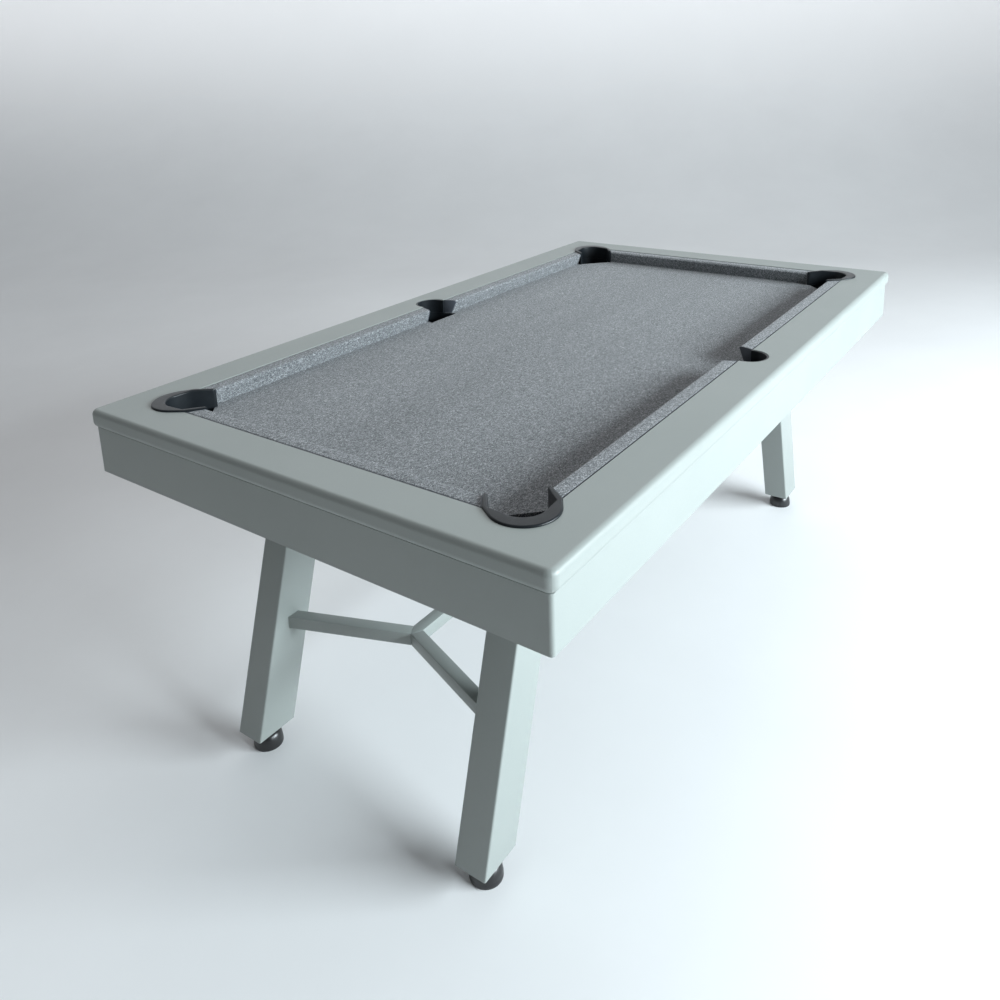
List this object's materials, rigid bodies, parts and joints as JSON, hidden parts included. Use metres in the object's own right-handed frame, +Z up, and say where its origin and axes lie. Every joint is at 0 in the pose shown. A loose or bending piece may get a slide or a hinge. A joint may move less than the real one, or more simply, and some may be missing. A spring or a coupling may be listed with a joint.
{
  "type": "pool table",
  "caption": "Outdoor pool table with a pale grey metal cabinet, splayed legs, levelling feet and a speckled grey cloth over a slate bed.",
  "frame": {"origin": "on the floor, under the middle of the table", "axes": "+X along the table towards the far end, +Y across the table towards the left side, +Z up"},
  "size_m": [2.134, 1.219, 0.866],
  "materials": {
    "powder_coat": "satin",
    "speckled_cloth": "matte",
    "cushion_rubber": "satin",
    "slate": "matte",
    "pocket_plastic": "satin",
    "foot_plastic": "gloss",
    "steel": "satin"
  },
  "bodies": {
    "table": {"bed_cloth": "speckled_cloth", "cross_beams": "powder_coat", "cushion_cloth_far": "speckled_cloth", "cushion_cloth_far_left": "speckled_cloth", "cushion_cloth_far_right": "speckled_cloth", "cushion_cloth_near": "speckled_cloth", "cushion_cloth_near_left": "speckled_cloth", "cushion_cloth_near_right": "speckled_cloth", "cushion_facings": "cushion_rubber", "end_apron_far": "powder_coat", "end_apron_near": "powder_coat", "end_beam_far": "powder_coat", "end_beam_near": "powder_coat", "end_cushion_cores": "cushion_rubber", "end_rail_far": "powder_coat", "end_rail_near": "powder_coat", "frame_beam_left": "powder_coat", "frame_beam_right": "powder_coat", "leg_bolts": "steel", "leg_far_left": "powder_coat", "leg_far_right": "powder_coat", "leg_near_left": "powder_coat", "leg_near_right": "powder_coat", "leg_plates": "powder_coat", "leg_plugs": "foot_plastic", "pocket_cup_far_left": "pocket_plastic", "pocket_cup_far_right": "pocket_plastic", "pocket_cup_middle_left": "pocket_plastic", "pocket_cup_middle_right": "pocket_plastic", "pocket_cup_near_left": "pocket_plastic", "pocket_cup_near_right": "pocket_plastic", "pocket_liner_far_left": "pocket_plastic", "pocket_liner_far_right": "pocket_plastic", "pocket_liner_middle_left": "pocket_plastic", "pocket_liner_middle_right": "pocket_plastic", "pocket_liner_near_left": "pocket_plastic", "pocket_liner_near_right": "pocket_plastic", "rail_bolts": "steel", "side_apron_left": "powder_coat", "side_apron_right": "powder_coat", "side_cushion_cores": "cushion_rubber", "side_rail_left": "powder_coat", "side_rail_right": "powder_coat", "slate_far": "slate", "slate_middle": "slate", "slate_near": "slate", "stretcher_arm_far_left": "powder_coat", "stretcher_arm_far_right": "powder_coat", "stretcher_arm_near_left": "powder_coat", "stretcher_arm_near_right": "powder_coat", "stretcher_bar": "powder_coat"},
    "foot_near_left": {"foot_pad_near_left": "foot_plastic"},
    "stem_near_left": {"foot_stem_near_left": "steel"},
    "foot_near_right": {"foot_pad_near_right": "foot_plastic"},
    "stem_near_right": {"foot_stem_near_right": "steel"},
    "foot_far_left": {"foot_pad_far_left": "foot_plastic"},
    "stem_far_left": {"foot_stem_far_left": "steel"},
    "foot_far_right": {"foot_pad_far_right": "foot_plastic"},
    "stem_far_right": {"foot_stem_far_right": "steel"}
  },
  "joints": [
    {"name": "level_near_left", "type": "slide", "parent": "table", "child": "foot_near_left", "axis": [0, 0, -1], "range_m": [0, 0.025]},
    {"name": "screw_near_left", "type": "hinge", "parent": "foot_near_left", "child": "stem_near_left", "pos_m": [-0.9, 0.328, 0.03], "axis": [0, 0, -1], "range_deg": [0, 4501]},
    {"name": "level_near_right", "type": "slide", "parent": "table", "child": "foot_near_right", "axis": [0, 0, -1], "range_m": [0, 0.025]},
    {"name": "screw_near_right", "type": "hinge", "parent": "foot_near_right", "child": "stem_near_right", "pos_m": [-0.9, -0.328, 0.03], "axis": [0, 0, -1], "range_deg": [0, 4501]},
    {"name": "level_far_left", "type": "slide", "parent": "table", "child": "foot_far_left", "axis": [0, 0, -1], "range_m": [0, 0.025]},
    {"name": "screw_far_left", "type": "hinge", "parent": "foot_far_left", "child": "stem_far_left", "pos_m": [0.9, 0.328, 0.03], "axis": [0, 0, -1], "range_deg": [0, 4501]},
    {"name": "level_far_right", "type": "slide", "parent": "table", "child": "foot_far_right", "axis": [0, 0, -1], "range_m": [0, 0.025]},
    {"name": "screw_far_right", "type": "hinge", "parent": "foot_far_right", "child": "stem_far_right", "pos_m": [0.9, -0.328, 0.03], "axis": [0, 0, -1], "range_deg": [0, 4501]}
  ],
  "couplings": [
    {"joint": "screw_near_left", "follows": "level_near_left", "rad_per_m": 3141.6},
    {"joint": "screw_near_right", "follows": "level_near_right", "rad_per_m": 3141.6},
    {"joint": "screw_far_left", "follows": "level_far_left", "rad_per_m": 3141.6},
    {"joint": "screw_far_right", "follows": "level_far_right", "rad_per_m": 3141.6}
  ]
}
